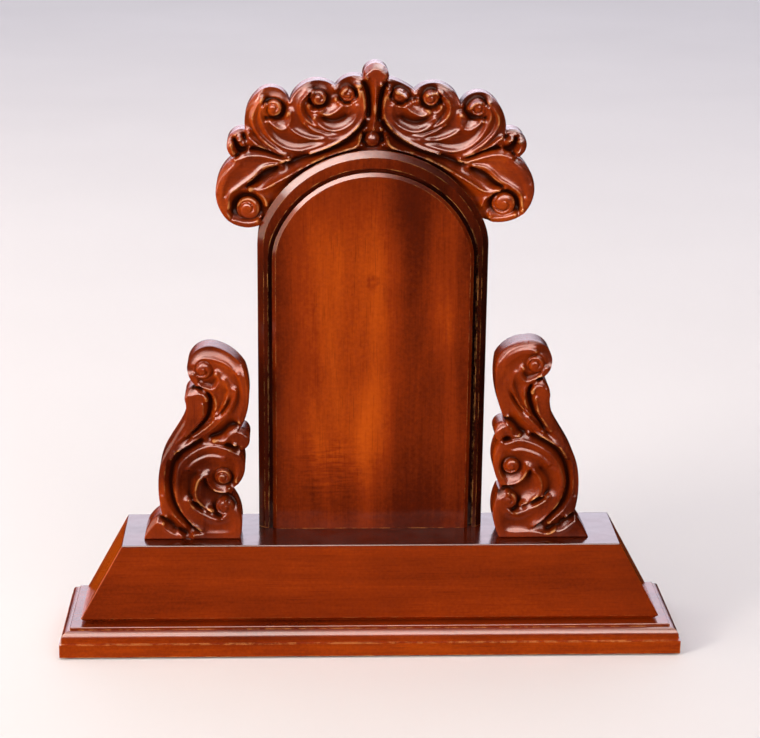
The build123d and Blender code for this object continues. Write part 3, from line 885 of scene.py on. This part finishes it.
def knot(f, x, z):
    """A small uneven ring, a little taller than it is wide."""
    z = f.times(z, KNOT_SQUASH)
    away = f.math("SQRT", f.plus(f.times(x, x), f.times(z, z)))
    away = f.plus(away, f.swing(f.noise(260.0, 2.0), KNOT_UNEVEN))
    return f.times(f.hump(away, KNOT_RADIUS, KNOT_WIDTH), KNOT_DARK)


def block_light(f):
    """Even along the front, with painted light on both end faces, where the light from the left falls, and
    painted shade with a painted dark reflection of the panel on the top.
    """
    front = f.ease(f.math("ABSOLUTE", f.x), 0.140, 0.085, 0.34, 0.42)
    # painted light on both end faces
    facing = f.add("ShaderNodeSeparateXYZ")
    f.feed(facing.inputs[0], f.add("ShaderNodeNewGeometry").outputs["Normal"])
    ends = f.ease(f.math("ABSOLUTE", facing.outputs["X"]), 0.5, 0.8, 0.0, 0.55)
    # painted shade on the top, with the panel's dark reflection painted in
    block_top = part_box("base_block")[1][2]
    top = f.ease(f.z, block_top - 0.0009, block_top - 0.0002, 0.0, 0.60)
    return f.minus(f.plus(front, ends), top)


def plinth_light(f):
    """Lightest on the flat band, darker up the moulding."""
    return f.ease(height_on(f, "plinth_board"), 0.013, 0.003, 0.25, 0.62)


def panel_light(f):
    """Painted light up round the arch and painted shade on the right, as the light falls from the left."""
    # painted shade towards the right, painted light up round the arch
    side = f.ease(f.x, -0.04, 0.04, 0.04, 0.32)
    return f.minus(f.ease(height_on(f, "arched_panel"), 0.1153, 0.1903, -0.16, 0.36), side)


def patches(f, low, high):
    """Large soft patches of lighter and darker stain, for the carvings."""
    return f.ease(f.noise(30.0, 2.0, 0.5, 0.0, (1.0, 9.0, 4.0)), 0.35, 0.65, low, high)


def crest_light(f):
    """Patchy stain, with painted shade on the right half, away from the light on the left."""
    # painted shade on the right half
    return f.minus(patches(f, 0.24, 0.66), f.ease(f.x, -0.010, 0.030, 0.0, 0.10))


def bracket_light(f):
    return patches(f, 0.10, 0.48)


# ---- materials: the hidden pieces and the floor --------------------------------------------------
def felt():
    f = Finish("felt")
    fuzz = f.noise(2500.0, 4.0, 0.7)
    f.set(Base_Color=f.ramp(fuzz, (0.3, (0.02, 0.05, 0.03)), (0.7, (0.06, 0.12, 0.07))), Roughness=0.95,
          Normal=f.bump(fuzz, 0.0002))
    return f.material


def steel():
    f = Finish("screw_steel")
    shade = f.noise((400.0, 400.0, 60.0))
    f.set(Base_Color=f.ramp(shade, (0.3, (0.45, 0.45, 0.46)), (0.7, (0.62, 0.62, 0.63))),
          Metallic=1.0, Roughness=0.32)
    return f.material


def beech():
    f = Finish("dowel_wood")
    fibre = f.noise((900.0, 900.0, 60.0))
    f.set(Base_Color=f.ramp(fibre, (0.3, (0.45, 0.27, 0.13)), (0.7, (0.62, 0.42, 0.24))), Roughness=0.6)
    return f.material


def paper():
    f = Finish("floor_paper")
    tone = f.noise(3.0, 2.0)
    f.set(Base_Color=f.ramp(tone, (0.3, (0.64, 0.63, 0.64)), (0.7, (0.67, 0.66, 0.67))), Roughness=0.9)
    return f.material


def dress(thing, material):
    thing.data.materials.clear()
    thing.data.materials.append(material)


def dress_all():
    dress(nodes["plinth_board"], lacquered("plinth_wood", "x", plinth_light, 0.8))
    dress(nodes["base_block"], lacquered("block_wood", "x", block_light, 0.55))
    dress(nodes["arched_panel"], lacquered("panel_wood", "z", panel_light, 0.6))
    dress(nodes["name_tablet"], lacquered("tablet_wood", "z", tablet_light, 0.5))
    dress(crest, lacquered("crest_wood", "x", crest_light, 0.6, carved=True))
    bracket_wood = lacquered("bracket_wood", "z", bracket_light, 0.6, gloss=0.78, carved=True)
    for piece in brackets:
        dress(piece, bracket_wood)
    hidden = {"felt_pad": felt(), "_screws": steel(), "dowel": beech()}
    for name, thing in nodes.items():
        for part, material in hidden.items():
            if part in name:
                dress(thing, material)


dress_all()


# ---- floor and light -----------------------------------------------------------------------------
FLOOR_REACH = 6.0
LIT_AT = (0.0, 0.0, 0.15)           # the object's middle, where the lamps point
WARM = (1.0, 0.89, 0.82)


def add_floor():
    x = y = FLOOR_REACH
    mesh = bpy.data.meshes.new("floor")
    mesh.from_pydata([(-x, -y, 0), (x, -y, 0), (x, y, 0), (-x, y, 0)], [], [(0, 1, 2, 3)])
    floor = link(bpy.data.objects.new("floor", mesh))
    dress(floor, paper())
    floor.visible_glossy = False


def softbox(name, place, size, power, colour, aim=LIT_AT, gloss=True, diffuse=True):
    """A rectangular lamp. gloss and diffuse say whether it shows in the lacquer and lights surfaces."""
    data = bpy.data.lights.new(name, "AREA")
    data.shape = "RECTANGLE"
    data.size, data.size_y = size
    data.energy = power
    data.color = colour
    lamp = link(bpy.data.objects.new(name, data))
    lamp.visible_camera = False
    lamp.visible_diffuse = diffuse
    lamp.visible_glossy = gloss
    lamp.location = place
    lamp.rotation_euler = (Vector(aim) - Vector(place)).to_track_quat("-Z", "Y").to_euler()


def add_world():
    world = bpy.data.worlds.new("studio")
    world.use_nodes = True
    background = world.node_tree.nodes["Background"]
    background.inputs["Color"].default_value = (0.86, 0.85, 0.92, 1.0)
    background.inputs["Strength"].default_value = 0.46
    world.cycles_visibility.glossy = False
    bpy.context.scene.world = world


def add_lamps():
    # a row of boxes from behind, over the top, to the front, each mirrored by faces of one slope
    softbox("low_back", (0.1, 3.4, 0.66), (5.0, 0.66), 18.0, (0.88, 0.84, 1.0), diffuse=False)
    softbox("back", (0.1, 3.4, 1.85), (5.0, 1.6), 128.0, (0.94, 0.86, 1.0), diffuse=False)
    softbox("upper", (0.0, 1.9, 2.3), (5.0, 1.6), 95.0, (0.90, 0.85, 1.0), diffuse=False)
    softbox("top", (-0.1, 0.2, 1.75), (4.0, 1.3), 145.0, WARM, diffuse=False)
    softbox("sky", (-0.2, -0.85, 1.45), (4.0, 1.3), 280.0, WARM, diffuse=False)
    softbox("brow", (-0.3, -2.1, 1.6), (4.0, 1.2), 100.0, WARM, diffuse=False)
    # the light on the left, and the soft light on the stain and the floor
    softbox("side", (-1.9, 0.2, 0.6), (1.6, 1.2), 24.0, (1.0, 0.84, 0.68))
    softbox("key", (-1.6, -1.2, 0.8), (0.7, 0.7), 38.0, (1.0, 0.90, 0.78), gloss=False)
    softbox("fill", (1.0, -1.8, 0.9), (1.2, 1.2), 10.0, (1.0, 0.92, 0.85), gloss=False)
    behind = (0.0, 3.2, 0.0)
    softbox("ceiling", (0.0, 3.2, 3.5), (9.0, 9.0), 80.0, (0.96, 0.95, 1.0), behind, gloss=False)


add_floor()
add_world()
add_lamps()
bpy.context.scene.view_settings.view_transform = "Standard"
